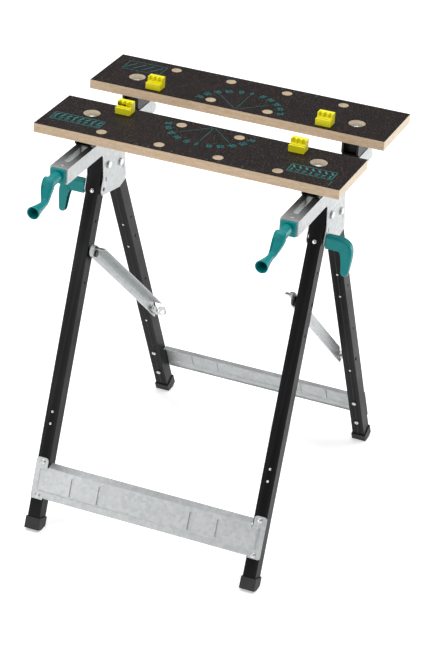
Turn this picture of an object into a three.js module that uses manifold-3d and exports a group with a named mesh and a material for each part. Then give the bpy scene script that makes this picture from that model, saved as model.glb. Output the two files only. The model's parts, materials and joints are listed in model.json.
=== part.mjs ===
// Folding clamping workbench: two jaw boards on a pair of steel rails, carried by a folding trestle.
// Units are millimetres, +Z is up. X runs along the jaws, -Y is the side of the crank handles.
// The floor is z = 0. Design coordinates have y = 0 in the middle of the open jaw gap, and the whole
// group is then moved along Y so that the origin is under the middle of the object.
import * as THREE from "three";
import { mergeVertices } from "three/addons/utils/BufferGeometryUtils.js";
import Module from "manifold-3d";

const wasm = await Module();
wasm.setup();

// ---- driving dimensions ----
const FRAME_SHIFT_Y = 9.725;
const GAP = 0.3; // clearance between touching pieces

const JAW_LENGTH = 600;
const JAW_DEPTH = 150;
const JAW_THICKNESS = 18;
const JAW_TOP = 797;
const JAW_OPENING = 90;
const JAW_BOTTOM = JAW_TOP - JAW_THICKNESS;
const JAW_MIDDLE_Y = (JAW_OPENING + JAW_DEPTH) / 2;
const DOG_HOLE_RADIUS = 10;
const DOG_HOLE_INSET = 24; // from the long edges to the hole rows
const DOG_HOLE_X = [-173.5, -58, 58, 173.5];
const COUNTERBORE_RADIUS = 16;
const COUNTERBORE_DEPTH = 10;
const COUNTERBORE_SHIFT = 18.6; // from the middle of the board towards the gap
const BOLT_RADIUS = 4;
const CARRIAGE_LENGTH = 72;
const REAR_BLOCK_LENGTH = 60;

const RAIL_X = 226; // middle plane of each rail, legs and crank
const RAIL_WIDTH = 36;
const SHEET = 1.5;
const RAIL_TOP = 740;
const RAIL_BOTTOM = 710;
const RAIL_FRONT = -238;
const RAIL_REAR = 158;
const RAIL_REAR_SLOPE = 38; // length of the rounded rear end of the top
const SLOT_WIDTH = 13;
const SLOT_START = RAIL_FRONT + 34;
const SLOT_END = 30;
const CHEEK_SLOTS = [
  { y: -68, z: 652, height: 9 },
  { y: 8, z: 650, height: 8 },
  { y: -18, z: 703, height: 8 },
  { y: -58, z: 718, height: 4 },
];
const SPINDLE_Z = 725;
const SPINDLE_RADIUS = 5;

const LEG_WIDTH = 26; // along X
const LEG_DEPTH = 28; // across the leg in its own plane of swing
const LEG_WALL = 1.5;
const LEG_START = 12; // from the floor point to the cut end inside the foot
const FRONT_PIVOT = { y: -60, z: 680 };
const REAR_PIVOT = { y: -6, z: 665 };
const FRONT_FOOT = { y: -313, z: 0 };
const REAR_FOOT = { y: 316.4, z: 0 };
const FRONT_HEAD = 22; // leg length beyond the pivot
const REAR_HEAD = 18;
const PIVOT_RADIUS = 4;
const FRONT_SIDE_HOLES = [494, 614]; // heights along the leg
const REAR_SIDE_HOLES = [572, 515, 378];
const FRONT_FACE_HOLES = [671.5, 236.7, 213];
const REAR_FACE_HOLES = [560, 492, 250];
const LEG_HOLE_RADIUS = 2.6;

const FOOT_WIDTH = 31;
const FOOT_DEPTH = 33;
const FOOT_TOP = 25; // along the leg, from the floor point
const FOOT_FLAT = 2; // the sole is flat from the inner edge to this far past the leg's middle
const FOOT_RISE = 0.5; // slope of the rest of the sole, up to its outer edge
const SOLE_REACH = 60; // the sole's cutting wedge, well past the foot on every side

const BAR_HALF_LENGTH = 240;
const BAR_SHEET = 1.2;
const BAR_WEB_BOTTOM = 66; // all bar heights run along the leg from the floor point
const BAR_WEB_TOP = 126;
const BAR_TAB_BOTTOM = 62;
const BAR_TAB_TOP = 145;
const BAR_FLANGE_DEPTH = 15;
const BAR_FLANGE_RISE = 10;
const BAR_LIP_DEPTH = 2.5;
const BAR_TAB_WIDTH = 25;
const BAR_SCREW_ALONG = [69, 137];
const BAR_HOLE_RADIUS = 2.8;
const BAR_RIB_HEIGHT = 0.9;
const BAR_RIB_X = [-158, -100, 90, 147];
const BAR_RIB_SPAN = [77, 117];

const STRUT_PIVOT = { y: -112.9, z: 515.4 };
const STUD = { y: 186, z: 254 };
const STRUT_WEB_X = 206; // face of the strut's web towards the leg
const STRUT_FLANGE_X = 185; // edge of the upper flange, towards the middle of the bench
const STRUT_RIM_X = 199; // edge of the rim round the upper end
const STRUT_LIP_X = 202.5;
const STRUT_HALF_WIDTH = 12;
const STRUT_START = -30; // rounded upper end, before the pivot
const STRUT_FLANGE_START = -6;
const STRUT_FLANGE_END = 376; // from the pivot along the strut
const STRUT_LIP_END = 358;
const CATCH_PIVOT = { t: 372, n: -4 };
const RIVET_RADIUS = 3;
const CATCH_X = 200; // face of the catch towards the web
const STUD_RADIUS = 4;

const LEVER_Y = -77;
const LEVER_Z = 635;
const LEVER_START = RAIL_X + RAIL_WIDTH / 2 + 1.5;

const GRIP_Z = 696.4;
const GRIP_LEAN = 5; // grip axis, from the spindle towards the middle of the bench
const GRIP_END = -351;
const GRIP_RADIUS = 12.4;

const SIDES = { left: -1, right: 1 };

// ---- materials ----
const finish = (color, roughness, metalness) => ({ color, roughness, metalness });
const GALVANISED = finish(0xb9bdbd, 0.42, 0.9);
const ZINC_BOLT = finish(0xc9cccb, 0.3, 0.9);
const BLACK_STEEL = finish(0x17181a, 0.35, 0.5);
const BLACK_PLASTIC = finish(0x1b1c1d, 0.6, 0);
const RUBBER = finish(0x151515, 0.85, 0);
const TEAL = finish(0x0a8a8c, 0.4, 0);
const YELLOW = finish(0xe9df2a, 0.45, 0);
const JAW_BOARD = finish(0x2a2a2a, 0.6, 0);
const SPINDLE_STEEL = finish(0x8f9496, 0.35, 0.9);

// ---- solids: closed meshes joined and cut with manifold-3d ----
function solid(geometry) {
  const bare = geometry.clone();
  bare.deleteAttribute("normal");
  bare.deleteAttribute("uv");
  const merged = mergeVertices(bare, 1e-4);
  return new wasm.Manifold(
    new wasm.Mesh({
      numProp: 3,
      vertProperties: new Float32Array(merged.attributes.position.array),
      triVerts: new Uint32Array(merged.index.array),
    }),
  );
}

function geometryOf(made) {
  const mesh = made.getMesh();
  const geometry = new THREE.BufferGeometry();
  geometry.setAttribute("position", new THREE.BufferAttribute(new Float32Array(mesh.vertProperties), 3));
  geometry.setIndex(new THREE.BufferAttribute(new Uint32Array(mesh.triVerts), 1));
  geometry.computeVertexNormals();
  return geometry;
}

const join = (solids) => solids.reduce((sum, piece) => sum.add(piece));
const cut = (body, tools) => tools.reduce((left, tool) => left.subtract(tool), body);

// A box from its lowest to its highest corner.
function block(low, high) {
  const size = high.map((value, i) => value - low[i]);
  const middle = high.map((value, i) => (value + low[i]) / 2);
  return solid(new THREE.BoxGeometry(...size).translate(...middle));
}

// A cylinder or cone along an axis, from one end point to the other along it.
function rod(axis, start, end, radius, segments = 16, endRadius = radius) {
  const reach = Math.abs(end["xyz".indexOf(axis)] - start["xyz".indexOf(axis)]);
  const shape = new THREE.CylinderGeometry(endRadius, radius, reach, segments);
  if (axis === "x") shape.rotateZ(-Math.PI / 2);
  if (axis === "z") shape.rotateX(Math.PI / 2);
  const middle = start.map((value, i) => (value + end[i]) / 2);
  return solid(shape.translate(...middle));
}

function outline(points) {
  return new THREE.Shape(points.map(([a, b]) => new THREE.Vector2(a, b)));
}

// Two distances from the middle plane as X values on one side of the bench, the lower one first.
const spanX = (side, a, b) => [Math.min(side * a, side * b), Math.max(side * a, side * b)];

// A rod along X between two distances from the middle plane.
function rodX(side, a, b, y, z, radius, segments = 12) {
  const [low, high] = spanX(side, a, b);
  return rod("x", [low, y, z], [high, y, z], radius, segments);
}

// A profile in the Y-Z plane, drawn along X from one side to the other.
function alongX(points, x0, x1) {
  const shape = points instanceof THREE.Shape ? points : outline(points);
  const settings = { depth: x1 - x0, bevelEnabled: false, curveSegments: 6 };
  const geometry = new THREE.ExtrudeGeometry(shape, settings);
  const turn = new THREE.Matrix4().makeBasis(
    new THREE.Vector3(0, 1, 0),
    new THREE.Vector3(0, 0, 1),
    new THREE.Vector3(1, 0, 0),
  );
  return solid(geometry.applyMatrix4(turn).translate(x0, 0, 0));
}

// A solid through elliptical sections: each station has a middle point, a half size along the
// direction "aside" and a half size across it. Sections stand square to the path.
function loft(stations, aside, sides = 12) {
  const middles = stations.map(({ at }) => new THREE.Vector3(...at));
  const positions = [];
  stations.forEach(({ half }, i) => {
    const before = middles[Math.max(i - 1, 0)];
    const after = middles[Math.min(i + 1, middles.length - 1)];
    const ahead = after.clone().sub(before).normalize();
    const across = aside.clone().addScaledVector(ahead, -aside.dot(ahead)).normalize();
    const rise = ahead.clone().cross(across);
    for (let k = 0; k < sides; k++) {
      const angle = (2 * Math.PI * k) / sides;
      const point = middles[i].clone();
      point.addScaledVector(across, half[0] * Math.cos(angle));
      point.addScaledVector(rise, half[1] * Math.sin(angle));
      positions.push(...point.toArray());
    }
  });
  const faces = [];
  const last = (stations.length - 1) * sides;
  for (let i = 0; i < last; i += sides) {
    for (let k = 0; k < sides; k++) {
      const next = (k + 1) % sides;
      faces.push(i + k, i + next, i + sides + next, i + k, i + sides + next, i + sides + k);
    }
  }
  for (let k = 1; k < sides - 1; k++) {
    faces.push(0, k + 1, k, last, last + k, last + k + 1);
  }
  const geometry = new THREE.BufferGeometry();
  geometry.setAttribute("position", new THREE.Float32BufferAttribute(positions, 3));
  geometry.setIndex(faces);
  return solid(geometry);
}

// ---- the group ----
const bench = new THREE.Group();
bench.position.y = FRAME_SHIFT_Y;

function place(name, made, look, parent = bench) {
  const material = new THREE.MeshStandardMaterial(look);
  const mesh = new THREE.Mesh(geometryOf(made), material);
  mesh.name = name;
  parent.add(mesh);
}

// A frame that stands on a leg's floor point: local z runs up the leg, local y across it, towards the rear.
function legFrame(foot, pivot) {
  const frame = new THREE.Group();
  frame.position.set(0, foot.y, foot.z);
  frame.rotation.x = -Math.atan2(pivot.y - foot.y, pivot.z - foot.z);
  bench.add(frame);
  return frame;
}

const distance = (a, b) => Math.hypot(a.y - b.y, a.z - b.z);
const frontLength = distance(FRONT_FOOT, FRONT_PIVOT);
const rearLength = distance(REAR_FOOT, REAR_PIVOT);

// Where a point of the swing plane lies in a leg's own frame.
function inLeg(point, foot, pivot) {
  const length = distance(foot, pivot);
  const up = { y: (pivot.y - foot.y) / length, z: (pivot.z - foot.z) / length };
  const dy = point.y - foot.y;
  const dz = point.z - foot.z;
  return { across: dy * up.z - dz * up.y, along: dy * up.y + dz * up.z };
}

// ---- jaw boards ----
function jawBoard(front) {
  const sign = front ? -1 : 1;
  const middle = sign * JAW_MIDDLE_Y;
  const board = block(
    [-JAW_LENGTH / 2, middle - JAW_DEPTH / 2, JAW_BOTTOM],
    [JAW_LENGTH / 2, middle + JAW_DEPTH / 2, JAW_TOP],
  );
  const holes = [];
  for (const x of DOG_HOLE_X) {
    for (const row of [-1, 1]) {
      const y = middle + row * (JAW_DEPTH / 2 - DOG_HOLE_INSET);
      holes.push(rod("z", [x, y, JAW_BOTTOM - 1], [x, y, JAW_TOP + 1], DOG_HOLE_RADIUS, 18));
    }
  }
  const boltY = sign * (JAW_MIDDLE_Y - COUNTERBORE_SHIFT);
  for (const side of Object.values(SIDES)) {
    const x = side * RAIL_X;
    const floor = JAW_TOP - COUNTERBORE_DEPTH;
    holes.push(rod("z", [x, boltY, floor], [x, boltY, JAW_TOP + 1], COUNTERBORE_RADIUS, 24));
    holes.push(rod("z", [x, boltY, JAW_BOTTOM - 1], [x, boltY, floor + 1], BOLT_RADIUS + GAP, 12));
  }
  place(front ? "front_jaw" : "rear_jaw", cut(board, holes), JAW_BOARD);
}

// Bolt with a wide washer that holds a board on its block, sunk in the board's counterbore.
function jawBolt(name, x, y) {
  const floor = JAW_TOP - COUNTERBORE_DEPTH + GAP;
  const bolt = join([
    rod("z", [x, y, RAIL_TOP + 10], [x, y, floor + 1], BOLT_RADIUS, 12),
    rod("z", [x, y, floor], [x, y, floor + 2], 14, 20),
    rod("z", [x, y, floor + 1.5], [x, y, floor + 6], 7, 6),
  ]);
  place(name, bolt, ZINC_BOLT);
}

// Black block between a rail and a board, with a bolt hole and a pocket in its front.
function jawBlock(name, x, y, halfLength) {
  const half = RAIL_WIDTH / 2 - 1;
  const low = RAIL_TOP + GAP;
  const high = JAW_BOTTOM - GAP;
  const body = block([x - half, y - halfLength, low], [x + half, y + halfLength, high]);
  const front = y - halfLength;
  const pocket = block([x - half + 4, front - 1, low + 5], [x + half - 4, front + 14, high - 5]);
  const hole = rod("z", [x, y, low - 1], [x, y, high + 1], BOLT_RADIUS + GAP, 12);
  const chamfer = alongX(
    [
      [front - 1, low - 1],
      [front + 8, low - 1],
      [front - 1, low + 8],
    ],
    x - half - 1,
    x + half + 1,
  );
  place(name, cut(body, [pocket, hole, chamfer]), BLACK_PLASTIC);
}

// ---- rails: a folded channel with a long slot on top and two cheeks that carry the legs ----
function cheekOutline() {
  const rearRound = 12;
  const shape = new THREE.Shape();
  shape.moveTo(RAIL_FRONT, RAIL_BOTTOM);
  shape.lineTo(-96, RAIL_BOTTOM);
  shape.quadraticCurveTo(-83, RAIL_BOTTOM, -82, 696);
  shape.lineTo(-79, 660);
  shape.lineTo(-88, 632);
  shape.lineTo(-84, 624);
  shape.lineTo(-4, 611);
  shape.lineTo(22, 618);
  shape.lineTo(24, 628);
  shape.lineTo(13, 684);
  shape.quadraticCurveTo(14, RAIL_BOTTOM, 30, RAIL_BOTTOM);
  shape.lineTo(RAIL_REAR - rearRound, RAIL_BOTTOM);
  shape.quadraticCurveTo(RAIL_REAR, RAIL_BOTTOM, RAIL_REAR, RAIL_BOTTOM + rearRound);
  shape.lineTo(RAIL_REAR - 4, RAIL_TOP - 14);
  shape.quadraticCurveTo(RAIL_REAR - 14, RAIL_TOP, RAIL_REAR - RAIL_REAR_SLOPE, RAIL_TOP);
  shape.lineTo(RAIL_FRONT, RAIL_TOP);
  return shape;
}

// Folded channel, open below, with the slot for the nut, the bush hole and the pivot holes.
function rail(name, x) {
  const half = RAIL_WIDTH / 2;
  const plates = [
    alongX(cheekOutline(), x - half, x - half + SHEET),
    alongX(cheekOutline(), x + half - SHEET, x + half),
    block([x - half, RAIL_FRONT, RAIL_TOP - SHEET], [x + half, RAIL_REAR - RAIL_REAR_SLOPE, RAIL_TOP]),
    block([x - half, RAIL_FRONT, RAIL_BOTTOM], [x + half, RAIL_FRONT + SHEET, RAIL_TOP]),
  ];
  const slotHalf = SLOT_WIDTH / 2;
  const tools = [
    block([x - slotHalf, SLOT_START, RAIL_TOP - 5], [x + slotHalf, SLOT_END, RAIL_TOP + 5]),
    rod("y", [x, RAIL_FRONT - 5, SPINDLE_Z], [x, RAIL_FRONT + 5, SPINDLE_Z], 7.5, 16),
  ];
  for (const pivot of [FRONT_PIVOT, REAR_PIVOT]) {
    tools.push(rod("x", [x - 30, pivot.y, pivot.z], [x + 30, pivot.y, pivot.z], PIVOT_RADIUS + GAP, 12));
  }
  for (const { y, z, height } of CHEEK_SLOTS) {
    tools.push(block([x - 30, y - 1.6, z - height / 2], [x + 30, y + 1.6, z + height / 2]));
  }
  tools.push(rod("x", [x - 30, LEVER_Y, LEVER_Z], [x + 30, LEVER_Y, LEVER_Z], PIVOT_RADIUS + GAP, 12));
  place(name, cut(join(plates), tools), GALVANISED);
}

// Square plate with a collar that carries the spindle at the front of a rail.
function spindleBush(name, x) {
  const front = RAIL_FRONT - GAP;
  const bush = join([
    block([x - 15, front - 5, SPINDLE_Z - 14], [x + 15, front, SPINDLE_Z + 14]),
    rod("y", [x, front - 1, SPINDLE_Z], [x, RAIL_FRONT + 8, SPINDLE_Z], 7.1, 16),
  ]);
  const boreRadius = SPINDLE_RADIUS + GAP;
  const bore = rod("y", [x, front - 9, SPINDLE_Z], [x, RAIL_FRONT + 12, SPINDLE_Z], boreRadius, 16);
  place(name, cut(bush, [bore]), TEAL);
}

// Bolt that a leg swings on, through both cheeks.
function pivotBolt(name, x, pivot) {
  const half = RAIL_WIDTH / 2;
  const bolt = join([
    rod("x", [x - half - 4, pivot.y, pivot.z], [x + half + 4, pivot.y, pivot.z], PIVOT_RADIUS, 12),
    rod("x", [x - half - 4, pivot.y, pivot.z], [x - half - GAP, pivot.y, pivot.z], 7, 6),
    rod("x", [x + half + GAP, pivot.y, pivot.z], [x + half + 4, pivot.y, pivot.z], 7, 12),
  ]);
  place(name, bolt, ZINC_BOLT);
}

// ---- clamping drive ----
// Spindle with a shoulder behind the bush. Its thread is left out.
function spindle(name, x) {
  const screw = join([
    rod("y", [x, RAIL_FRONT - 32, SPINDLE_Z], [x, SLOT_END, SPINDLE_Z], SPINDLE_RADIUS, 14),
    rod("y", [x, RAIL_FRONT + 8.6, SPINDLE_Z], [x, RAIL_FRONT + 13, SPINDLE_Z], 8, 14),
  ]);
  place(name, screw, SPINDLE_STEEL);
}

// Nut that runs in the rail, with a neck that reaches up through the slot.
function spindleNut(name, x, y) {
  const nut = join([
    block([x - 14, y - 12, SPINDLE_Z - 11], [x + 14, y + 12, RAIL_TOP - SHEET - 1]),
    block([x - SLOT_WIDTH / 2 + 0.6, y - 12, SPINDLE_Z], [x + SLOT_WIDTH / 2 - 0.6, y + 12, RAIL_TOP]),
  ]);
  const bore = rod("y", [x, y - 20, SPINDLE_Z], [x, y + 20, SPINDLE_Z], SPINDLE_RADIUS + GAP, 14);
  place(name, cut(nut, [bore]), SPINDLE_STEEL);
}

// Crank of one moulding: a socket on the spindle, an arm that tapers down towards the middle of the
// bench, and a flared grip with an open end.
function crank(name, side) {
  const x = side * RAIL_X;
  const inwards = (reach) => x - side * reach;
  const back = RAIL_FRONT - 6.5;
  const aside = new THREE.Vector3(1, 0, 0);
  const round = (radius) => [radius, radius];
  const hub = loft(
    [
      { at: [x, back, SPINDLE_Z], half: round(10.5) },
      { at: [x, -268, SPINDLE_Z], half: round(10.5) },
      { at: [x, -283, SPINDLE_Z], half: round(10.5) },
      { at: [x, -287.5, SPINDLE_Z], half: round(7) },
    ],
    aside,
    16,
  );
  const gripX = inwards(GRIP_LEAN);
  const arm = loft(
    [
      { at: [x, -276.5, SPINDLE_Z + 5], half: [11.5, 7.5] },
      { at: [inwards(0.5), -284, SPINDLE_Z - 5], half: [11.8, 7.6] },
      { at: [inwards(2), -292, SPINDLE_Z - 15], half: [9.8, 6.8] },
      { at: [inwards(3.8), -299, GRIP_Z + 5], half: [7.6, 6.4] },
      { at: [inwards(4.7), -305.5, GRIP_Z + 1], half: [6.6, 6.6] },
      { at: [gripX, -312, GRIP_Z], half: round(6.8) },
      { at: [gripX, -324, GRIP_Z], half: round(8) },
      { at: [gripX, -338, GRIP_Z], half: round(10) },
      { at: [gripX, GRIP_END, GRIP_Z], half: round(GRIP_RADIUS) },
    ],
    aside,
    14,
  );
  const boreRadius = SPINDLE_RADIUS + GAP;
  const bore = rod("y", [x, RAIL_FRONT - 33, SPINDLE_Z], [x, back + 2, SPINDLE_Z], boreRadius, 14);
  const hollowDepth = 24;
  const hollow = rod(
    "y",
    [gripX, GRIP_END - 1, GRIP_Z],
    [gripX, GRIP_END + hollowDepth, GRIP_Z],
    GRIP_RADIUS - 1.8,
    14,
    5.5,
  );
  place(name, cut(join([hub, arm]), [bore, hollow]), TEAL);
}

// Hooked lever on the outside of each rail: a short arm out of the cheek, then a grip that hangs down.
function lockLever(name, side) {
  const path = [
    { at: [LEVER_START, LEVER_Y, LEVER_Z], half: [10, 12.5] },
    { at: [264, LEVER_Y, LEVER_Z], half: [10, 12.5] },
    { at: [275, LEVER_Y - 0.3, LEVER_Z - 0.8], half: [9.9, 12.4] },
    { at: [283, LEVER_Y - 1.5, LEVER_Z - 5], half: [9.6, 12.6] },
    { at: [286.8, LEVER_Y - 3.5, LEVER_Z - 13], half: [9.2, 11.4] },
    { at: [288.3, LEVER_Y - 5.5, LEVER_Z - 24], half: [8.7, 9.8] },
    { at: [288.5, LEVER_Y - 8, LEVER_Z - 38], half: [8, 8.2] },
    { at: [288.5, LEVER_Y - 11, LEVER_Z - 52], half: [6.6, 6.6] },
    { at: [288, LEVER_Y - 11.8, LEVER_Z - 57], half: [4.5, 4.5] },
  ];
  const stations = path.map(({ at: [x, y, z], half }) => ({ at: [side * x, y, z], half }));
  const lever = loft(stations, new THREE.Vector3(0, side, 0), 14);
  const bore = rodX(side, RAIL_X, LEVER_START + 14, LEVER_Y, LEVER_Z, PIVOT_RADIUS + GAP);
  place(name, cut(lever, [bore]), TEAL);
}

// Pin of a lever, held by a flat head between the cheek and the leg.
function leverPin(name, side) {
  const headEnd = RAIL_X + RAIL_WIDTH / 2 - SHEET - GAP;
  const headStart = headEnd - 2.2;
  const pin = join([
    rodX(side, headStart, LEVER_START + 11.5, LEVER_Y, LEVER_Z, PIVOT_RADIUS),
    rodX(side, headStart, headEnd, LEVER_Y, LEVER_Z, 6.5),
  ]);
  place(name, pin, ZINC_BOLT);
}

// Square tube with a closed upper end. The foot closes the lower one.
function leg(name, frame, x, length, head, holes) {
  const half = LEG_WIDTH / 2;
  const depth = LEG_DEPTH / 2;
  const end = length + head;
  const bore = block(
    [x - half + LEG_WALL, -depth + LEG_WALL, LEG_START - 1],
    [x + half - LEG_WALL, depth - LEG_WALL, end - LEG_WALL],
  );
  const tube = cut(block([x - half, -depth, LEG_START], [x + half, depth, end]), [
    bore,
    rod("x", [x - 30, 0, length], [x + 30, 0, length], PIVOT_RADIUS + GAP, 12),
    ...holes.map((hole) => hole(x)),
  ]);
  place(name, tube, BLACK_STEEL, frame);
}

// Holes right through a leg at x, from side to side or from front to back.
function sideHole(across, along, radius) {
  return (x) => rod("x", [x - 20, across, along], [x + 20, across, along], radius, 8);
}

function faceHole(along, radius) {
  return (x) => rod("y", [x, -20, along], [x, 20, along], radius, 8);
}

// Rubber cap over the end of a leg. Its sole is flat on the floor under the inner half and rises
// a little towards the outer edge. outward is -1 on the front pair and +1 on the rear pair.
function foot(name, frame, x, lean, outward) {
  const half = FOOT_WIDTH / 2;
  const depth = FOOT_DEPTH / 2;
  const outer = block([x - half, -depth, -15], [x + half, depth, FOOT_TOP]);
  const innerHalf = LEG_WIDTH / 2 + GAP;
  const innerDepth = LEG_DEPTH / 2 + GAP;
  const socket = block(
    [x - innerHalf, -innerDepth, LEG_START - GAP],
    [x + innerHalf, innerDepth, FOOT_TOP + 1],
  );
  const reach = SOLE_REACH * outward;
  const sole = [
    [-reach, 0],
    [FOOT_FLAT * outward, 0],
    [reach, (SOLE_REACH - FOOT_FLAT) * FOOT_RISE],
    [reach, -SOLE_REACH],
    [-reach, -SOLE_REACH],
  ];
  if (outward > 0) sole.reverse();
  const under = geometryOf(alongX(sole, x - half - 1, x + half + 1));
  under.applyMatrix4(new THREE.Matrix4().makeRotationX(-lean));
  place(name, cut(outer, [socket, solid(under)]), RUBBER, frame);
}

// Pressed bar across a pair of legs. outward is -1 on the front pair and +1 on the rear pair.
function crossbar(name, frame, outward) {
  const face = outward * (LEG_DEPTH / 2 + GAP);
  const skin = face + outward * BAR_SHEET;
  const low = Math.min(face, skin);
  const high = Math.max(face, skin);
  const inside = RAIL_X - LEG_WIDTH / 2 - 1;
  // a strip of sheet that folds back from the web, given the heights of its two edges
  const fold = (webHeight, backDepth, backHeight) => {
    const back = face - outward * backDepth;
    const strip = [
      [skin, webHeight],
      [back, backHeight],
      [back, backHeight - BAR_SHEET],
      [skin, webHeight - BAR_SHEET],
    ];
    return alongX(outward < 0 ? strip.reverse() : strip, -inside, inside);
  };
  const plates = [
    block([-BAR_HALF_LENGTH, low, BAR_WEB_BOTTOM], [BAR_HALF_LENGTH, high, BAR_WEB_TOP]),
    fold(BAR_WEB_TOP, BAR_FLANGE_DEPTH, BAR_WEB_TOP + BAR_FLANGE_RISE),
    fold(BAR_WEB_BOTTOM + BAR_SHEET, BAR_LIP_DEPTH, BAR_WEB_BOTTOM + BAR_SHEET),
  ];
  for (const side of Object.values(SIDES)) {
    const [left, right] = spanX(side, BAR_HALF_LENGTH - BAR_TAB_WIDTH, BAR_HALF_LENGTH);
    plates.push(block([left, low, BAR_TAB_BOTTOM], [right, high, BAR_TAB_TOP]));
  }
  // raised ribs pressed into the web
  const [ribLow, ribHigh] = BAR_RIB_SPAN;
  for (const x of BAR_RIB_X) {
    const rib = skin + outward * BAR_RIB_HEIGHT;
    plates.push(block([x - 1.5, Math.min(face, rib), ribLow], [x + 1.5, Math.max(face, rib), ribHigh]));
  }
  const holes = [];
  for (const side of Object.values(SIDES)) {
    for (const along of BAR_SCREW_ALONG) {
      holes.push(rod("y", [side * RAIL_X, -30, along], [side * RAIL_X, 30, along], BAR_HOLE_RADIUS, 10));
    }
  }
  place(name, cut(join(plates), holes), GALVANISED, frame);
}

// Screw through the bar and both walls of the leg, with a nut inside of the A-frame.
function barScrew(name, frame, side, along, outward) {
  const x = side * RAIL_X;
  const face = LEG_DEPTH / 2 + GAP + BAR_SHEET + GAP;
  const inner = -(LEG_DEPTH / 2 + GAP);
  const at = (reach) => [x, outward * reach, along];
  const pair = (a, b) => (outward > 0 ? [at(a), at(b)] : [at(b), at(a)]);
  const screw = join([
    rod("y", ...pair(inner - 3, face + 1), 2.5, 10),
    rod("y", ...pair(face, face + 2.4), 5, 12),
    rod("y", ...pair(inner - 3, inner), 4.6, 6),
  ]);
  place(name, screw, ZINC_BOLT, frame);
}

// ---- struts ----
// Local frame of a strut: local y runs from its pivot to the stud, local z is up across it.
function strutFrame() {
  const frame = new THREE.Group();
  frame.position.set(0, STRUT_PIVOT.y, STRUT_PIVOT.z);
  frame.rotation.x = Math.atan2(STUD.z - STRUT_PIVOT.z, STUD.y - STRUT_PIVOT.y);
  bench.add(frame);
  return frame;
}

// Pressed strut: a web beside the legs with a wide flange along its upper edge, a rim round the upper
// end, a narrow lip below, and a notch at the lower end that drops over the stud.
function strut(name, frame, side, studT) {
  const width = STRUT_HALF_WIDTH;
  const round = width;
  const middle = STRUT_START + round;
  const web = new THREE.Shape();
  web.moveTo(middle, -width);
  web.lineTo(STRUT_LIP_END, -width);
  web.lineTo(studT + 6, -width - 1);
  web.lineTo(studT + 14, -width);
  web.lineTo(studT + 13, 6);
  web.lineTo(studT + 6, 8);
  web.lineTo(studT + 4.8, 3);
  web.lineTo(studT + 3.5, -3.8);
  web.lineTo(studT - 1, -5);
  web.lineTo(studT - 4.8, -2.8);
  web.lineTo(STRUT_FLANGE_END, width);
  web.lineTo(middle, width);
  web.absarc(middle, 0, round, Math.PI / 2, (3 * Math.PI) / 2, false);
  const rim = new THREE.Shape();
  rim.moveTo(STRUT_FLANGE_END, width);
  rim.lineTo(middle, width);
  rim.absarc(middle, 0, round, Math.PI / 2, Math.PI, false);
  rim.absarc(middle, 0, round - SHEET, Math.PI, Math.PI / 2, true);
  rim.lineTo(STRUT_FLANGE_END, width - SHEET);
  // the wide flange ends short of the rounded end, with its corner turned down
  const flange = outline([
    [STRUT_FLANGE_END, width],
    [STRUT_FLANGE_START, width],
    [STRUT_FLANGE_START - 8, width - 6],
    [STRUT_FLANGE_START - 7, width - 7],
    [STRUT_FLANGE_START + 0.5, width - SHEET],
    [STRUT_FLANGE_END, width - SHEET],
  ]);
  const [lipLow, lipHigh] = spanX(side, STRUT_LIP_X, STRUT_WEB_X);
  const pressing = join([
    alongX(web, ...spanX(side, STRUT_WEB_X - SHEET, STRUT_WEB_X)),
    alongX(rim, ...spanX(side, STRUT_RIM_X, STRUT_WEB_X)),
    alongX(flange, ...spanX(side, STRUT_FLANGE_X, STRUT_WEB_X - 0.5)),
    block([lipLow, middle + 2, -width], [lipHigh, STRUT_LIP_END, -width + SHEET]),
  ]);
  const holes = [
    rodX(side, STRUT_WEB_X - 5, STRUT_WEB_X + 5, 0, 0, PIVOT_RADIUS + GAP),
    rodX(side, STRUT_WEB_X - 5, STRUT_WEB_X + 5, CATCH_PIVOT.t, CATCH_PIVOT.n, RIVET_RADIUS + GAP),
  ];
  place(name, cut(pressing, holes), GALVANISED, frame);
}

// Shouldered bolt that carries a strut on its front leg, fixed in the leg's inner wall.
function strutPivot(name, frame, side, { across, along }) {
  const wall = RAIL_X - LEG_WIDTH / 2;
  const headEnd = STRUT_WEB_X - SHEET - GAP;
  const headStart = headEnd - 3;
  const pin = join([
    rodX(side, headStart, wall + LEG_WALL + 3, across, along, PIVOT_RADIUS),
    rodX(side, headStart, headEnd, across, along, 7),
    rodX(side, STRUT_WEB_X + GAP, wall - GAP, across, along, 10, 16),
  ]);
  place(name, pin, BLACK_PLASTIC, frame);
}

// Stud on a rear leg that the strut's catch hooks over.
function strutStud(name, frame, side, { across, along }) {
  const wall = RAIL_X - LEG_WIDTH / 2;
  const stud = join([
    rodX(side, CATCH_X - 4, wall + LEG_WALL + 3, across, along, STUD_RADIUS),
    rodX(side, STRUT_WEB_X + 2 * GAP, wall - GAP, across, along, 7),
  ]);
  place(name, stud, ZINC_BOLT, frame);
}

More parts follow.
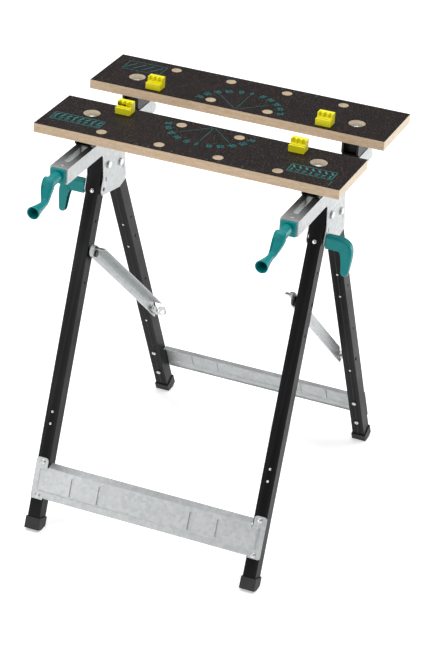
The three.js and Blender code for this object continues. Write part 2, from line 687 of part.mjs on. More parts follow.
// Flat catch riveted inside the strut: a hook under the stud, then a tab with a finger hole that
// reaches past the end of the strut.
function strutCatch(name, frame, side, studT) {
  const thickness = 2;
  const { t, n } = CATCH_PIVOT;
  const hook = outline([
    [t - 9, n - 5],
    [studT + 3, n - 5],
    [studT + 22, -4],
    [studT + 53, 5],
    [studT + 55, 9],
    [studT + 42, 17],
    [studT + 37, 17.5],
    [studT + 10, 11],
    [studT + 5.3, 6],
    [studT + 4.6, 0],
    [studT + 2.4, -4],
    [studT - 2.4, -5],
    [studT - 9, 1],
    [studT - 14, 2],
    [t - 9, 2],
  ]);
  const loop = outline([
    [studT + 19, 2],
    [studT + 24, -0.5],
    [studT + 43, 4.5],
    [studT + 50, 8],
    [studT + 43, 12],
    [studT + 34, 11],
  ]);
  const [plateLow, plateHigh] = spanX(side, CATCH_X - thickness, CATCH_X);
  const plate = join([
    alongX(hook, plateLow, plateHigh),
    rodX(side, CATCH_X - thickness - 1.5, STRUT_WEB_X + 1.5, t, n, RIVET_RADIUS),
  ]);
  place(name, cut(plate, [alongX(loop, plateLow - 1, plateHigh + 1)]), GALVANISED, frame);
}

// Clamping dog: a peg for the hole, a low grooved lip towards the cranks and a taller back with
// three notches in its front. The lip lies towards -Y on all four.
function dog(name, x, y) {
  const base = JAW_TOP + GAP;
  const half = 15;
  const lipTop = base + 13;
  const top = base + 22;
  const lipFront = y - 13;
  const backFront = y - 3;
  const back = y + 12;
  const body = join([
    rod("z", [x, y, base - 19], [x, y, base + 2], DOG_HOLE_RADIUS - 0.5, 16),
    block([x - half, lipFront, base], [x + half, back, lipTop]),
    block([x - half, backFront, base], [x + half, back, top]),
  ]);
  const tools = [block([x - half - 1, y - 10, lipTop - 3], [x + half + 1, y - 6, lipTop + 1])];
  for (const offset of [-9.5, 0, 9.5]) {
    tools.push(block([x + offset - 3, backFront - 1, lipTop + 1], [x + offset + 3, backFront + 6, top + 1]));
  }
  place(name, cut(body, tools), YELLOW);
}

// ---- assembly ----
const boltY = JAW_MIDDLE_Y - COUNTERBORE_SHIFT;
const dogY = JAW_MIDDLE_Y - JAW_DEPTH / 2 + DOG_HOLE_INSET;
const frontFrame = legFrame(FRONT_FOOT, FRONT_PIVOT);
const rearFrame = legFrame(REAR_FOOT, REAR_PIVOT);
const strutSpace = strutFrame();
const frontLean = Math.atan2(FRONT_PIVOT.y - FRONT_FOOT.y, FRONT_PIVOT.z);
const rearLean = Math.atan2(REAR_PIVOT.y - REAR_FOOT.y, REAR_PIVOT.z);
const studT = distance(STRUT_PIVOT, STUD);
const strutOnLeg = inLeg(STRUT_PIVOT, FRONT_FOOT, FRONT_PIVOT);
const studOnLeg = inLeg(STUD, REAR_FOOT, REAR_PIVOT);

jawBoard(true);
jawBoard(false);

for (const [word, side] of Object.entries(SIDES)) {
  const x = side * RAIL_X;
  rail(word + "_rail", x);
  spindleBush(word + "_spindle_bush", x);
  jawBlock(word + "_front_jaw_carriage", x, -boltY, CARRIAGE_LENGTH / 2);
  jawBlock(word + "_rear_jaw_block", x, boltY, REAR_BLOCK_LENGTH / 2);
  jawBolt(word + "_front_jaw_bolt", x, -boltY);
  jawBolt(word + "_rear_jaw_bolt", x, boltY);
  spindle(word + "_spindle", x);
  spindleNut(word + "_spindle_nut", x, -boltY);
  crank(word + "_crank", side);
  pivotBolt(word + "_front_leg_pivot", x, FRONT_PIVOT);
  pivotBolt(word + "_rear_leg_pivot", x, REAR_PIVOT);
  lockLever(word + "_lock_lever", side);
  leverPin(word + "_lock_pin", side);

  const frontHoles = [
    sideHole(strutOnLeg.across, strutOnLeg.along, PIVOT_RADIUS + GAP),
    ...FRONT_SIDE_HOLES.map((along) => sideHole(0, along, LEG_HOLE_RADIUS)),
    ...FRONT_FACE_HOLES.map((along) => faceHole(along, LEG_HOLE_RADIUS)),
    ...BAR_SCREW_ALONG.map((along) => faceHole(along, BAR_HOLE_RADIUS)),
  ];
  leg(word + "_front_leg", frontFrame, x, frontLength, FRONT_HEAD, frontHoles);
  foot(word + "_front_foot", frontFrame, x, -frontLean, -1);
  const rearHoles = [
    sideHole(studOnLeg.across, studOnLeg.along, STUD_RADIUS + GAP),
    ...REAR_SIDE_HOLES.map((along) => sideHole(0, along, LEG_HOLE_RADIUS)),
    ...REAR_FACE_HOLES.map((along) => faceHole(along, LEG_HOLE_RADIUS)),
    ...BAR_SCREW_ALONG.map((along) => faceHole(along, BAR_HOLE_RADIUS)),
  ];
  leg(word + "_rear_leg", rearFrame, x, rearLength, REAR_HEAD, rearHoles);
  foot(word + "_rear_foot", rearFrame, x, -rearLean, 1);

  BAR_SCREW_ALONG.forEach((along, i) => {
    const level = i ? "upper" : "lower";
    barScrew(word + "_front_bar_" + level + "_screw", frontFrame, side, along, -1);
    barScrew(word + "_rear_bar_" + level + "_screw", rearFrame, side, along, 1);
  });

  strut(word + "_strut", strutSpace, side, studT);
  strutPivot(word + "_strut_pivot", frontFrame, side, strutOnLeg);
  strutStud(word + "_strut_stud", rearFrame, side, studOnLeg);
  strutCatch(word + "_strut_catch", strutSpace, side, studT);

  dog(word + "_front_dog", side * DOG_HOLE_X[3], -dogY);
  dog(word + "_rear_dog", side * DOG_HOLE_X[3], dogY);
}

crossbar("front_crossbar", frontFrame, -1);
crossbar("rear_crossbar", rearFrame, 1);

export default bench;
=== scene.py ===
"""Looks of the folding clamping workbench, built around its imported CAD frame. Units are metres."""

import json
import math
import random

import bmesh
import bpy
from mathutils import Matrix, Vector


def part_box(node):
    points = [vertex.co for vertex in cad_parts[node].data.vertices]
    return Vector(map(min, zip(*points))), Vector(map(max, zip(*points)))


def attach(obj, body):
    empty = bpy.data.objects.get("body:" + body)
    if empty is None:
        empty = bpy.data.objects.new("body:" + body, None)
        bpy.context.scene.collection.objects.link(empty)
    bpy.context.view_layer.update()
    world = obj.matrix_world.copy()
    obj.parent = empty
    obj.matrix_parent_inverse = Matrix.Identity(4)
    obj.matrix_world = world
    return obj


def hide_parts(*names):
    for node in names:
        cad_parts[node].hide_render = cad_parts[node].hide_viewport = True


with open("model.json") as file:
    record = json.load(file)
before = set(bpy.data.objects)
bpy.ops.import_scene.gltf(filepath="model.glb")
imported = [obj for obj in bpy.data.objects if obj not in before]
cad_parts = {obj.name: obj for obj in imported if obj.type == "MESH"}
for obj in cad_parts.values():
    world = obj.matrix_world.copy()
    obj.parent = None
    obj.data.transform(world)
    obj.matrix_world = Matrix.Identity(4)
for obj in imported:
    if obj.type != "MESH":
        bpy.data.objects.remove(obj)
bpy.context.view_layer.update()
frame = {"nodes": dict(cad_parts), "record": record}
NODES = frame["nodes"]
RECORD = frame["record"]
BODY_OF = {
    node: body for body, names in RECORD["behaviour"]["bodies"].items() for node in names
}
SLOT_OF = {part["node"]: part["material_slot"] for part in RECORD["subparts"]}
SIDES = {"left": -1, "right": 1}
MM = 0.001
rng = random.Random(7)

# ---- the same millimetre axes as the CAD: y = 0 in the middle of the open jaw gap ----
FRONT_LOW, FRONT_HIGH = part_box("front_jaw")
REAR_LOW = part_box("rear_jaw")[0]
JAW_TOP = FRONT_HIGH.z
JAW_TOP_MM = JAW_TOP / MM
GAP_Y = (FRONT_HIGH.y + REAR_LOW.y) / 2
# the long edges of a board, from the middle of the gap, in metres
INNER_EDGE = GAP_Y - FRONT_HIGH.y
OUTER_EDGE = GAP_Y - FRONT_LOW.y
RAIL_X = 226
RAIL_FRONT = (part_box("right_rail")[0].y - GAP_Y) / MM
RAIL_TOP = 740


def point(x, y, z):
    """A place given in the CAD's millimetres."""
    return Vector((x * MM, GAP_Y + y * MM, z * MM))


class LegFrame:
    """Places along, across and beside a pair of legs, whose feet spread outwards."""

    def __init__(self, foot_y, pivot_y, pivot_z):
        self.foot_y = foot_y
        self.run = Vector((pivot_y - foot_y, pivot_z)).normalized()
        self.sign = math.copysign(1, foot_y)

    def at(self, x, out, along):
        """out is across the leg, away from the middle of the bench."""
        run_y, run_z = self.run
        out_y, out_z = self.sign * run_z, self.sign * -run_y
        return point(x, self.foot_y + run_y * along + out_y * out, run_z * along + out_z * out)


FRONT = LegFrame(foot_y=-313, pivot_y=-60, pivot_z=680)
REAR = LegFrame(foot_y=316.4, pivot_y=-6, pivot_z=665)


# ---- meshes ----
TIP_RADIUS = 0.02  # a tip keeps a tiny ring, so that its faces stay whole


class Maker:
    """Gathers surfaces into one mesh."""

    def __init__(self):
        self.bm = bmesh.new()

    def ring(self, points):
        return [self.bm.verts.new(p) for p in points]

    def quads(self, rows, around=False):
        """Faces between rows of vertices; around closes each row on itself."""
        for a, b in zip(rows, rows[1:]):
            count = len(a)
            for i in range(count if around else count - 1):
                j = (i + 1) % count
                self.bm.faces.new((a[i], a[j], b[j], b[i]))

    def tube(self, rings):
        """A closed skin through rings of points, with both ends capped."""
        rows = [self.ring(points) for points in rings]
        self.quads(rows, around=True)
        self.bm.faces.new(rows[0][::-1])
        self.bm.faces.new(rows[-1])

    def sheet(self, rows):
        """An open skin through rows of points."""
        self.quads([self.ring(points) for points in rows])

    def prism(self, outline, shift):
        """An outline given as points, pushed along the vector shift."""
        self.tube([outline, [p + shift for p in outline]])

    def turned(self, base, axis, profile, sides):
        """A body of revolution: profile holds (distance along axis, radius)."""
        axis = axis.normalized()
        aside = axis.orthogonal().normalized()
        over = axis.cross(aside)
        turns = [2 * math.pi * i / sides for i in range(sides)]
        rings = []
        for along, radius in profile:
            middle = base + axis * along * MM
            rings.append([
                middle + (aside * math.cos(t) + over * math.sin(t)) * max(radius, TIP_RADIUS) * MM
                for t in turns
            ])
        self.tube(rings)

    def weld(self, gap):
        bmesh.ops.remove_doubles(self.bm, verts=self.bm.verts, dist=gap * MM)

    def piece(self, name, slot, body, replaced=(), sharp=35, look=None):
        """Finishes the mesh as a named piece that rides a body."""
        bmesh.ops.recalc_face_normals(self.bm, faces=self.bm.faces)
        mesh = bpy.data.meshes.new(name)
        self.bm.to_mesh(mesh)
        self.bm.free()
        mesh.shade_smooth()
        mesh.set_sharp_from_angle(angle=math.radians(sharp))
        mesh.materials.append(LOOKS[look or slot])
        made = bpy.data.objects.new(name, mesh)
        bpy.context.scene.collection.objects.link(made)
        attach(made, body)
        if replaced:
            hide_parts(*replaced)
        return made


def soften(piece, width, segments=2, angle=30):
    """Bevels the edges that are sharper than angle, with a width in millimetres."""
    bevel = piece.modifiers.new("bevel", "BEVEL")
    bevel.width = width * MM
    bevel.segments = segments
    bevel.limit_method = "ANGLE"
    bevel.angle_limit = math.radians(angle)
    normals = piece.modifiers.new("normals", "WEIGHTED_NORMAL")
    normals.keep_sharp = True


def smoothstep(value, low, high):
    t = min(max((value - low) / (high - low), 0.0), 1.0)
    return t * t * (3 - 2 * t)


def spaced(low, high, step):
    """Evenly spaced values from low to high, about step apart."""
    count = max(1, round((high - low) / step))
    return [low + (high - low) * i / count for i in range(count + 1)]


def smooth_path(stations, steps):
    """Catmull-Rom values between stations, each a flat tuple of numbers."""
    ends = [stations[0], *stations, stations[-1]]
    made = []
    for before, a, b, after in zip(ends, ends[1:], ends[2:], ends[3:]):
        for i in range(steps):
            t = i / steps
            made.append(tuple(
                0.5 * (2 * p1 + (p2 - p0) * t + (2 * p0 - 5 * p1 + 4 * p2 - p3) * t * t
                       + (3 * p1 - p0 - 3 * p2 + p3) * t * t * t)
                for p0, p1, p2, p3 in zip(before, a, b, after)
            ))
    made.append(tuple(stations[-1]))
    return made


def swept(path, section):
    """Rings along a path whose stations start with a CAD point. section(station) gives the axis
    that u is measured along, and the outline as (u, v), so the path may bend in any plane."""
    rings = []
    points = [point(*station[:3]) for station in path]
    for i, station in enumerate(path):
        run = points[min(i + 1, len(points) - 1)] - points[max(i - 1, 0)]
        run.normalize()
        aside, outline = section(station)
        across = run.cross(aside).normalized()
        aside = across.cross(run).normalized()
        rings.append([points[i] + (aside * u + across * v) * MM for u, v in outline])
    return rings


def rounded_section(half_u, half_v, power, sides):
    """A superellipse: an ellipse at power 2, squarer above it."""
    made = []
    for i in range(sides):
        angle = 2 * math.pi * i / sides
        c, s = math.cos(angle), math.sin(angle)
        made.append((
            half_u * math.copysign(abs(c) ** (2 / power), c),
            half_v * math.copysign(abs(s) ** (2 / power), s),
        ))
    return made


# ---- camera, light, floor ----
CAMERA_PLACE = (1.4617, GAP_Y - 3.7265, 2.5103)
CAMERA_YAW, CAMERA_PITCH, CAMERA_ROLL = (math.radians(a) for a in (20.941, 28.245, 3.506))
CAMERA_LENS = 128.75
CAMERA_SHIFT = (-0.0209, 0.0006)
FLOOR_REACH = 30


def camera():
    """The camera stands in front, to the right and above, with a long lens."""
    yaw, pitch, roll = CAMERA_YAW, CAMERA_PITCH, CAMERA_ROLL
    forward = Vector((
        -math.sin(yaw) * math.cos(pitch), math.cos(yaw) * math.cos(pitch), -math.sin(pitch)
    ))
    level = Vector((math.cos(yaw), math.sin(yaw), 0))
    rise = level.cross(forward)
    right = level * math.cos(roll) + rise * math.sin(roll)
    up = rise * math.cos(roll) - level * math.sin(roll)
    data = bpy.data.cameras.new("camera")
    data.lens = CAMERA_LENS
    data.sensor_width = 36
    data.shift_x, data.shift_y = CAMERA_SHIFT
    data.clip_end = 100
    eye = bpy.data.objects.new("camera", data)
    turned = Matrix((right, up, -forward)).transposed().to_4x4()
    eye.matrix_world = Matrix.Translation(CAMERA_PLACE) @ turned
    bpy.context.scene.collection.objects.link(eye)
    bpy.context.scene.camera = eye


def area_light(name, place, target, size, power):
    data = bpy.data.lights.new(name, "AREA")
    data.shape = "RECTANGLE"
    data.size, data.size_y = size
    data.energy = power
    lamp = bpy.data.objects.new(name, data)
    lamp.location = place
    lamp.rotation_euler = (Vector(target) - Vector(place)).to_track_quat("-Z", "Y").to_euler()
    bpy.context.scene.collection.objects.link(lamp)


def studio():
    """White room: a wide ceiling light, a key from the front left, a rim light from the back right."""
    bpy.context.scene.view_settings.view_transform = "Standard"
    world = bpy.data.worlds.new("studio")
    bpy.context.scene.world = world
    world.use_nodes = True
    back = world.node_tree.nodes["Background"]
    back.inputs["Color"].default_value = (1, 1, 1, 1)
    back.inputs["Strength"].default_value = 0.22
    area_light("ceiling", place=(0, 0.4, 4.0), target=(0, 0.4, 0), size=(7, 7), power=300)
    area_light("key", place=(-1.75, -3.35, 1.1), target=(0, 0, 0.45), size=(0.8, 1.1), power=24)
    area_light("rim", place=(2.4, 2.6, 0.7), target=(0, 0, 0.5), size=(1.2, 1.2), power=34)
    mesh = bpy.data.meshes.new("floor")
    corners = [(x * FLOOR_REACH, y * FLOOR_REACH, 0) for x, y in ((-1, -1), (1, -1), (1, 1), (-1, 1))]
    mesh.from_pydata(corners, [], [(0, 1, 2, 3)])
    floor = bpy.data.objects.new("floor", mesh)
    mesh.materials.append(floor_material())
    bpy.context.scene.collection.objects.link(floor)


# ---- node materials ----
class Shade:
    """A short way to write a node tree around one Principled shader."""

    def __init__(self, name, **sockets):
        self.material = bpy.data.materials.new(name)
        self.material.use_nodes = True
        self.tree = self.material.node_tree
        self.shader = self.tree.nodes["Principled BSDF"]
        for key, value in sockets.items():
            self.shader.inputs[key.replace("_", " ")].default_value = value
        self.place = self.node("ShaderNodeTexCoord").outputs["Object"]

    def node(self, kind, inputs=None, **settings):
        made = self.tree.nodes.new(kind)
        for key, value in settings.items():
            setattr(made, key, value)
        for key, value in (inputs or {}).items():
            self.feed(made.inputs[key], value)
        return made

    def feed(self, socket, value):
        if isinstance(value, bpy.types.NodeSocket):
            self.tree.links.new(value, socket)
        else:
            socket.default_value = value

    def set(self, key, value):
        self.feed(self.shader.inputs[key], value)

    def math(self, operation, a, b=0.0):
        return self.node("ShaderNodeMath", {0: a, 1: b}, operation=operation).outputs[0]

    def stretch(self, scale):
        return self.node("ShaderNodeMapping", {"Vector": self.place, "Scale": scale}).outputs[0]

    def noise(self, scale, detail=3.0, where=None):
        inputs = {"Vector": where or self.place, "Scale": scale, "Detail": detail, "Roughness": 0.55}
        return self.node("ShaderNodeTexNoise", inputs).outputs["Fac"]

    def cells(self, scale, output="Distance", where=None, randomness=1.0):
        inputs = {"Vector": where or self.place, "Scale": scale, "Randomness": randomness}
        return self.node("ShaderNodeTexVoronoi", inputs).outputs[output]

    def remap(self, value, low, high, to_low=0.0, to_high=1.0):
        names = ("Value", "From Min", "From Max", "To Min", "To Max")
        inputs = dict(zip(names, (value, low, high, to_low, to_high)))
        return self.node("ShaderNodeMapRange", inputs).outputs[0]

    def mix(self, factor, a, b):
        """Blends two colours, which are the node's sockets 6 and 7."""
        made = self.node("ShaderNodeMix", data_type="RGBA")
        self.feed(made.inputs["Factor"], factor)
        self.feed(made.inputs[6], (*a, 1) if isinstance(a, tuple) else a)
        self.feed(made.inputs[7], (*b, 1) if isinstance(b, tuple) else b)
        return made.outputs[2]

    def bump(self, height, strength, distance):
        inputs = {"Height": height, "Strength": strength, "Distance": distance}
        self.set("Normal", self.node("ShaderNodeBump", inputs).outputs[0])

    def edges(self):
        """How far a point lies on a convex edge, for light wear."""
        convex = self.node("ShaderNodeNewGeometry").outputs["Pointiness"]
        return self.remap(convex, 0.54, 0.66)


def floor_material():
    s = Shade("studio_floor", Roughness=0.6)
    grain = s.noise(3.0)
    s.set("Base Color", s.mix(grain, (0.93, 0.93, 0.93), (0.96, 0.96, 0.96)))
    s.set("Emission Color", (1, 1, 1, 1))
    s.set("Emission Strength", 0.4)
    return s.material


def galvanised():
    """Zinc-coated sheet: faint spangle, fine rolling lines and slightly uneven gloss."""
    s = Shade("galvanised_sheet", Metallic=0.55)
    spangle = s.cells(160, output="Color")
    tone = s.node("ShaderNodeSeparateColor", {"Color": spangle}).outputs[0]
    cloud = s.noise(14, 4)
    shade = s.math("ADD", s.math("MULTIPLY", tone, 0.45), s.math("MULTIPLY", cloud, 0.55))
    s.set("Base Color", s.mix(shade, (0.36, 0.38, 0.385), (0.54, 0.55, 0.55)))
    s.set("Roughness", s.remap(cloud, 0.3, 0.7, 0.34, 0.5))
    lines = s.noise(30, 3, where=s.stretch((3, 60, 60)))
    s.bump(s.math("ADD", s.math("MULTIPLY", lines, 0.5), tone), 0.12, 0.0004)
    return s.material


def zinc_bolt():
    s = Shade("zinc_bolt", Metallic=0.9)
    cloud = s.noise(200, 3)
    s.set("Base Color", s.mix(cloud, (0.55, 0.56, 0.56), (0.78, 0.78, 0.77)))
    s.set("Roughness", s.remap(cloud, 0.3, 0.7, 0.22, 0.4))
    s.bump(cloud, 0.1, 0.0002)
    return s.material


def spindle_steel():
    s = Shade("spindle_steel", Metallic=0.9)
    cloud = s.noise(90, 4)
    s.set("Base Color", s.mix(cloud, (0.2, 0.2, 0.2), (0.52, 0.52, 0.51)))
    s.set("Roughness", s.remap(cloud, 0.3, 0.7, 0.25, 0.5))
    s.bump(cloud, 0.15, 0.0003)
    return s.material


def black_steel():
    """Black powder coat on steel tube: fine orange peel, soft gloss, a little grey wear on edges."""
    s = Shade("black_steel", Specular_IOR_Level=0.07)
    peel = s.noise(900, 2)
    cloud = s.noise(9, 4)
    base = s.mix(cloud, (0.003, 0.003, 0.0035), (0.008, 0.008, 0.0095))
    s.set("Base Color", s.mix(s.math("MULTIPLY", s.edges(), 0.5), base, (0.1, 0.1, 0.1)))
    s.set("Roughness", s.remap(cloud, 0.3, 0.7, 0.3, 0.46))
    s.bump(peel, 0.18, 0.0003)
    return s.material


def black_plastic():
    s = Shade("black_plastic")
    grain = s.noise(1400, 2)
    cloud = s.noise(30, 3)
    s.set("Base Color", s.mix(cloud, (0.008, 0.008, 0.009), (0.02, 0.02, 0.022)))
    s.set("Roughness", s.remap(grain, 0.3, 0.7, 0.45, 0.62))
    s.bump(grain, 0.25, 0.0003)
    return s.material


def rubber():
    s = Shade("rubber")
    grain = s.noise(800, 3)
    dust = s.noise(40, 4)
    s.set("Base Color", s.mix(dust, (0.008, 0.008, 0.008), (0.03, 0.029, 0.028)))
    s.set("Roughness", s.remap(grain, 0.3, 0.7, 0.62, 0.85))
    s.bump(grain, 0.35, 0.0004)
    return s.material


def moulded(name, dark, light, worn):
    """Satin moulded plastic with a fine grain, slight cloudiness and paler worn edges."""
    s = Shade(name, Specular_IOR_Level=0.25)
    grain = s.noise(1100, 2)
    cloud = s.noise(35, 4)
    base = s.mix(cloud, dark, light)
    s.set("Base Color", s.mix(s.math("MULTIPLY", s.edges(), 0.45), base, worn))
    s.set("Roughness", s.remap(s.math("ADD", grain, cloud), 0.7, 1.3, 0.3, 0.46))
    s.bump(grain, 0.16, 0.0003)
    return s.material


SKIN = 0.6 * MM  # a point this close to a face of the board belongs to it


def jaw_board():
    """Particle board with a black anti-slip facing on both sides and bare edges and hole walls."""
    s = Shade("jaw_board", Specular_IOR_Level=0.1)
    normal = s.node("ShaderNodeTexCoord").outputs["Normal"]
    nz = s.node("ShaderNodeSeparateXYZ", {0: normal}).outputs[2]
    _, y, z = s.node("ShaderNodeSeparateXYZ", {0: s.place}).outputs
    flat = s.math("GREATER_THAN", s.math("ABSOLUTE", nz), 0.7)
    top = s.math("MULTIPLY", s.math("GREATER_THAN", z, JAW_TOP - SKIN), flat)
    under = s.math("MULTIPLY", s.math("LESS_THAN", z, FRONT_LOW.z + SKIN), flat)
    facing = s.math("MAXIMUM", top, under)
    # facing
    weave = s.cells(330, randomness=0.85)
    flecks = s.noise(380, 2)
    cloud = s.noise(11, 3)
    dark = s.mix(cloud, (0.0035, 0.003, 0.003), (0.008, 0.006, 0.0058))
    speck = s.math("MULTIPLY", s.remap(flecks, 0.56, 0.68), s.remap(weave, 0.1, 0.5))
    film = s.mix(speck, dark, (0.12, 0.075, 0.07))
    # bare edge
    chips = s.cells(420, output="Color", where=s.stretch((0.35, 1, 1.4)))
    chip = s.node("ShaderNodeSeparateColor", {"Color": chips}).outputs[0]
    layers = s.noise(60, 5, where=s.stretch((0.2, 1, 6)))
    wood = s.mix(layers, (0.4, 0.28, 0.18), (0.58, 0.44, 0.3))
    wood = s.mix(s.math("MULTIPLY", chip, 0.45), wood, (0.68, 0.55, 0.41))
    # painted light: hole walls and end faces get a paler wood than the long edges, standing in for the
    # brighter light they catch
    reach = s.math("ABSOLUTE", s.math("SUBTRACT", y, GAP_Y))
    inner_edge = s.math("LESS_THAN", reach, INNER_EDGE + SKIN)
    outer_edge = s.math("GREATER_THAN", reach, OUTER_EDGE - SKIN)
    long_edge = s.math("MAXIMUM", inner_edge, outer_edge)
    lit_end_wood = s.mix(layers, (0.66, 0.56, 0.42), (0.8, 0.7, 0.56))
    wood = s.mix(long_edge, lit_end_wood, wood)
    s.set("Base Color", s.mix(facing, wood, film))
    rough = s.remap(flecks, 0.3, 0.7, 0.66, 0.86)
    s.set("Roughness", s.math("ADD", s.math("MULTIPLY", facing, -0.4), rough))
    height = s.math("ADD", s.math("MULTIPLY", weave, facing), s.math("MULTIPLY", chip, 0.6))
    s.bump(height, 0.22, 0.0004)
    return s.material


def printed_ink():
    s = Shade("printed_ink", Roughness=0.5)
    grain = s.noise(900, 2)
    worn = s.remap(grain, 0.35, 0.65)
    s.set("Base Color", s.mix(worn, (0.0, 0.12, 0.12), (0.0, 0.22, 0.215)))
    return s.material


LOOKS = {
    "jaw_board": jaw_board(),
    "galvanised_sheet": galvanised(),
    "black_steel": black_steel(),
    "zinc_bolt": zinc_bolt(),
    "spindle_steel": spindle_steel(),
    "black_plastic": black_plastic(),
    "rubber": rubber(),
    "printed_ink": printed_ink(),
    "teal_plastic": moulded(
        "teal_plastic", dark=(0.0, 0.17, 0.175), light=(0.0, 0.235, 0.235), worn=(0.01, 0.36, 0.35)),
    "yellow_plastic": moulded(
        "yellow_plastic", dark=(0.72, 0.64, 0.0), light=(0.82, 0.75, 0.005), worn=(0.9, 0.85, 0.1)),
}


# ---- finishing of CAD nodes that keep their shape ----
def finish_node(name, bevel):
    """Material, and bevels on the real edges once the CAD's triangles are joined into faces."""
    piece = NODES[name]
    piece.data.materials.clear()
    piece.data.materials.append(LOOKS[SLOT_OF[name]])
    weld = piece.modifiers.new("weld", "WELD")
    weld.merge_threshold = 0.02 * MM
    flat = piece.modifiers.new("planar", "DECIMATE")
    flat.decimate_type = "DISSOLVE"
    flat.angle_limit = math.radians(1)
    soften(piece, bevel, angle=35)
    for face in piece.data.polygons:
        face.use_smooth = True


# ---- crossbars: one pressed sheet with a raised panel, grooves, rounded tabs and a folded flange ----
# across the bar
BAR_HALF = 240
BAR_TAB_INNER = 215
PANEL_END = 226
PANEL_FADE = 4
GROOVES = [-158, -100, 90, 147]
GROOVE_WALL = (1.4, 2.4)
# out of the legs' middle plane
BAR_OUT = 15.5
PANEL_RISE = 2.2
BAR_SHEET = 1.2
# along the legs; a pair is a slope's start and end
BAR_FOOT = 66
BAR_FOLD = 126
TAB_TOP = 145
TAB_CORNER = 6
FOOT_CORNER = 4
PANEL_FOOT = (78, 81.5)
PANEL_TAB_TOP = (119, 124)
GROOVE_FOOT = (82, 84)
GROOVE_TOP = (117, 119)


def bar_height(x, along):
    """How far out the sheet stands: a raised panel with the grooves pressed back into it."""
    panel = smoothstep(along, *PANEL_FOOT)
    panel *= 1 - smoothstep(abs(x), PANEL_END, PANEL_END + PANEL_FADE)
    if abs(x) > BAR_TAB_INNER - 2:
        panel *= 1 - smoothstep(along, *PANEL_TAB_TOP)
    groove = 0.0
    for middle in GROOVES:
        across = 1 - smoothstep(abs(x - middle), *GROOVE_WALL)
        length = smoothstep(along, *GROOVE_FOOT) * (1 - smoothstep(along, *GROOVE_TOP))
        groove = max(groove, across * length)
    return BAR_OUT + PANEL_RISE * panel * (1 - groove)


def bar_columns():
    """Places across the bar, closer together at the grooves, the tabs and the panel's ends."""
    columns = {round(x, 2) for x in spaced(-BAR_HALF, BAR_HALF, 4)}
    for middle in GROOVES:
        columns |= {round(x, 2) for x in spaced(middle - 4, middle + 4, 0.5)}
    ends = [BAR_TAB_INNER + step for step in (-4, -3, -2, -1, 0, 2)]
    ends += [PANEL_END + step for step in range(PANEL_FADE + 1)]
    columns |= {side * x for side in SIDES.values() for x in ends}
    return sorted(columns)


def crossbar(which, legs):
    make = Maker()
    columns = bar_columns()
    web_columns = [x for x in columns if abs(x) <= BAR_TAB_INNER - 3]
    tab_columns = [x for x in columns if x >= BAR_TAB_INNER]

    def tab_row(side, along, radius, drop, both):
        """A row across a tab, drawn in by a corner of this radius, drop past the corner's start."""
        inset = radius - math.sqrt(max(radius * radius - drop * drop, 0.0))
        inset = min(inset, radius * 0.94)  # the last row keeps some width
        inner = BAR_TAB_INNER + (inset if both else 0)
        share = (BAR_HALF - inset - inner) / (BAR_HALF - BAR_TAB_INNER)
        return [
            legs.at(side * (inner + (x - BAR_TAB_INNER) * share), BAR_OUT, along)
            for x in tab_columns
        ]

    # rows are close together where the panel and the grooves start and end
    web = (spaced(BAR_FOOT, 78, 3) + spaced(78.5, 84, 0.7)
           + spaced(86, 116, 3) + spaced(117, BAR_FOLD, 1))
    make.sheet([[legs.at(x, bar_height(x, along), along) for x in columns] for along in web])
    # the flange folds back and up with a small radius, the lower lip straight back
    fold = [(0, 0)] + [(2.5 * (1 - math.cos(a)), 2.2 * math.sin(a)) for a in (0.4, 0.8, 1.2)]
    fold += [(8, 5.6), (15, 10)]
    make.sheet([
        [legs.at(x, bar_height(x, BAR_FOLD) - back, BAR_FOLD + rise) for x in web_columns]
        for back, rise in fold
    ])
    lip = [(0, 0), (0.4, 0.8), (1.2, 1.2), (2.8, 1.2)]
    make.sheet([
        [legs.at(x, BAR_OUT - back, BAR_FOOT - drop) for x in web_columns] for back, drop in lip
    ])
    corner = TAB_TOP - TAB_CORNER
    upper = spaced(BAR_FOLD, corner, 2) + spaced(corner + 0.75, TAB_TOP, 0.75)
    lower = range(BAR_FOOT, BAR_FOOT - FOOT_CORNER - 1, -1)
    for side in SIDES.values():
        make.sheet([
            tab_row(side, along, TAB_CORNER, max(0.0, along - corner), True) for along in upper
        ])
        make.sheet([
            tab_row(side, along, FOOT_CORNER, BAR_FOOT - along, False) for along in lower
        ])
    make.weld(0.05)
    bar = make.piece(f"{which}_crossbar_pressing", "galvanised_sheet", f"{which}_legs",
                     [f"{which}_crossbar"], sharp=50)
    # the sheet is thickened away from its outer face, whichever way its normals came out
    out = legs.at(0, 10, 100) - legs.at(0, 0, 100)
    facing = sum((p.normal for p in bar.data.polygons), Vector()).dot(out)
    thick = bar.modifiers.new("thickness", "SOLIDIFY")
    thick.thickness = BAR_SHEET * MM
    thick.offset = -1 if facing > 0 else 1
    soften(bar, 0.25, segments=1, angle=50)


# ---- heads, and screws: a pan head with a cross recess, its shank and a nut behind the leg ----
SCREW_HEAD_RADIUS = 5
SCREW_SHANK_RADIUS = 2.5
SCREW_END = -17


def disc_grid(radius, count):
    """A square grid drawn in to fill a disc, so that its middle lines stay straight."""
    rows = []
    for j in range(count + 1):
        v = 2 * j / count - 1
        row = []
        for i in range(count + 1):
            u = 2 * i / count - 1
            row.append((
                radius * u * math.sqrt(1 - v * v / 2), radius * v * math.sqrt(1 - u * u / 2)
            ))
        rows.append(row)
    return rows


